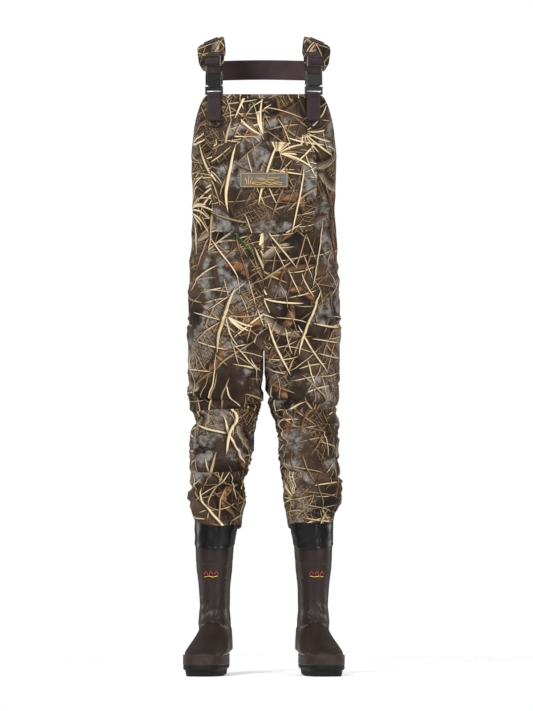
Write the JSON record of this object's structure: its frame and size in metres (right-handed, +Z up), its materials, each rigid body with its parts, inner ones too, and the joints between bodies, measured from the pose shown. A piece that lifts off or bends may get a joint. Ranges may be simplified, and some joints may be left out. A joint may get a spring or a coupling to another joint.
{
  "type": "chest waders",
  "caption": "Boot-foot chest waders in reed camouflage foam fabric, with buckled shoulder straps, a chest hand pocket and rubber boots that bend at the knees.",
  "frame": {"origin": "on the ground, midway between the boots, at the centre of the part's bounding box", "axes": "+Z up to the shoulders, the wearer faces -Y, +X is the wearer's left"},
  "size_m": [0.4108, 0.3654, 1.5991],
  "materials": {
    "camo_neoprene": "reed camouflage knit over foam rubber",
    "binding_tape": "woven tape",
    "badge_rubber": "moulded soft badge with a yellow border",
    "brown_webbing": "ribbed woven webbing",
    "ring_metal": "dark coated wire",
    "buckle_plastic": "moulded black plastic",
    "slider_plastic": "polished black plastic",
    "collar_rubber": "glossy black rubber",
    "boot_rubber": "dark brown moulded rubber",
    "foxing_rubber": "lighter brown rubber band",
    "sole_rubber": "black lugged rubber",
    "insole_felt": "grey felt"
  },
  "bodies": {
    "garment": {"bib_front_left": "camo_neoprene", "bib_front_right": "camo_neoprene", "back_panel_left": "camo_neoprene", "back_panel_right": "camo_neoprene", "crotch_gusset": "camo_neoprene", "thigh_left": "camo_neoprene", "thigh_right": "camo_neoprene", "knee_left": "camo_neoprene", "knee_right": "camo_neoprene", "knee_pad_left": "camo_neoprene", "knee_pad_right": "camo_neoprene", "top_edge_binding": "binding_tape", "chest_pocket": "camo_neoprene", "pocket_badge": "badge_rubber", "bib_tab_left": "brown_webbing", "bib_tab_right": "brown_webbing", "buckle_fork_left": "buckle_plastic", "buckle_fork_right": "buckle_plastic", "shoulder_pad_left": "camo_neoprene", "shoulder_pad_right": "camo_neoprene", "shoulder_webbing_left": "brown_webbing", "shoulder_webbing_right": "brown_webbing", "cross_strap": "brown_webbing"},
    "left_shin": {"calf_left": "camo_neoprene", "boot_collar_left": "collar_rubber", "boot_upper_left": "boot_rubber", "foxing_left": "foxing_rubber", "outsole_left": "sole_rubber", "insole_left": "insole_felt"},
    "left_ring": {"d_ring_left": "ring_metal"},
    "left_socket": {"buckle_socket_left": "buckle_plastic", "adjuster_webbing_left": "brown_webbing"},
    "left_slider": {"slider_left": "slider_plastic", "slider_wrap_left": "brown_webbing"},
    "left_outer_arm": {"fork_arm_left_outer": "buckle_plastic"},
    "left_inner_arm": {"fork_arm_left_inner": "buckle_plastic"},
    "right_shin": {"calf_right": "camo_neoprene", "boot_collar_right": "collar_rubber", "boot_upper_right": "boot_rubber", "foxing_right": "foxing_rubber", "outsole_right": "sole_rubber", "insole_right": "insole_felt"},
    "right_ring": {"d_ring_right": "ring_metal"},
    "right_socket": {"buckle_socket_right": "buckle_plastic", "adjuster_webbing_right": "brown_webbing"},
    "right_slider": {"slider_right": "slider_plastic", "slider_wrap_right": "brown_webbing"},
    "right_outer_arm": {"fork_arm_right_outer": "buckle_plastic"},
    "right_inner_arm": {"fork_arm_right_inner": "buckle_plastic"}
  },
  "joints": [
    {"name": "left_knee", "type": "hinge", "parent": "garment", "child": "left_shin", "pos_m": [0.105, 0.062, 0.588], "axis": [1, 0, 0], "range_deg": [0, 75], "stiffness_Nm_per_rad": 18, "springref_deg": -1.72, "deforming": ["knee_left", "knee_pad_left"]},
    {"name": "left_ring_swing", "type": "hinge", "parent": "garment", "child": "left_ring", "pos_m": [0.124, -0.066, 1.388], "axis": [-0.8829, -0.4695, 0], "range_deg": [0, 140]},
    {"name": "left_buckle_release", "type": "slide", "parent": "garment", "child": "left_socket", "axis": [0, 0, 1], "range_m": [0, 0.028]},
    {"name": "left_slider_adjust", "type": "slide", "parent": "left_socket", "child": "left_slider", "axis": [0, 0, 1], "range_m": [-0.011, 0.008]},
    {"name": "left_outer_arm_flex", "type": "hinge", "parent": "garment", "child": "left_outer_arm", "pos_m": [0.13724, -0.05896, 1.472], "axis": [0.4695, -0.8829, 0], "range_deg": [0, 18.2]},
    {"name": "left_inner_arm_flex", "type": "hinge", "parent": "garment", "child": "left_inner_arm", "pos_m": [0.11076, -0.07304, 1.472], "axis": [-0.4695, 0.8829, 0], "range_deg": [0, 18.2]},
    {"name": "right_knee", "type": "hinge", "parent": "garment", "child": "right_shin", "pos_m": [-0.105, 0.062, 0.588], "axis": [1, 0, 0], "range_deg": [0, 75], "stiffness_Nm_per_rad": 18, "springref_deg": -1.72, "deforming": ["knee_right", "knee_pad_right"]},
    {"name": "right_ring_swing", "type": "hinge", "parent": "garment", "child": "right_ring", "pos_m": [-0.124, -0.066, 1.388], "axis": [-0.8829, 0.4695, 0], "range_deg": [0, 140]},
    {"name": "right_buckle_release", "type": "slide", "parent": "garment", "child": "right_socket", "axis": [0, 0, 1], "range_m": [0, 0.028]},
    {"name": "right_slider_adjust", "type": "slide", "parent": "right_socket", "child": "right_slider", "axis": [0, 0, 1], "range_m": [-0.011, 0.008]},
    {"name": "right_outer_arm_flex", "type": "hinge", "parent": "garment", "child": "right_outer_arm", "pos_m": [-0.13724, -0.05896, 1.472], "axis": [0.4695, 0.8829, 0], "range_deg": [0, 18.2]},
    {"name": "right_inner_arm_flex", "type": "hinge", "parent": "garment", "child": "right_inner_arm", "pos_m": [-0.11076, -0.07304, 1.472], "axis": [-0.4695, -0.8829, 0], "range_deg": [0, 18.2]}
  ],
  "couplings": [
    {"joint": "left_outer_arm_flex", "follows": "left_buckle_release", "rad_per_m": 11.2},
    {"joint": "left_inner_arm_flex", "follows": "left_buckle_release", "rad_per_m": 11.2},
    {"joint": "right_outer_arm_flex", "follows": "right_buckle_release", "rad_per_m": 11.2},
    {"joint": "right_inner_arm_flex", "follows": "right_buckle_release", "rad_per_m": 11.2}
  ]
}
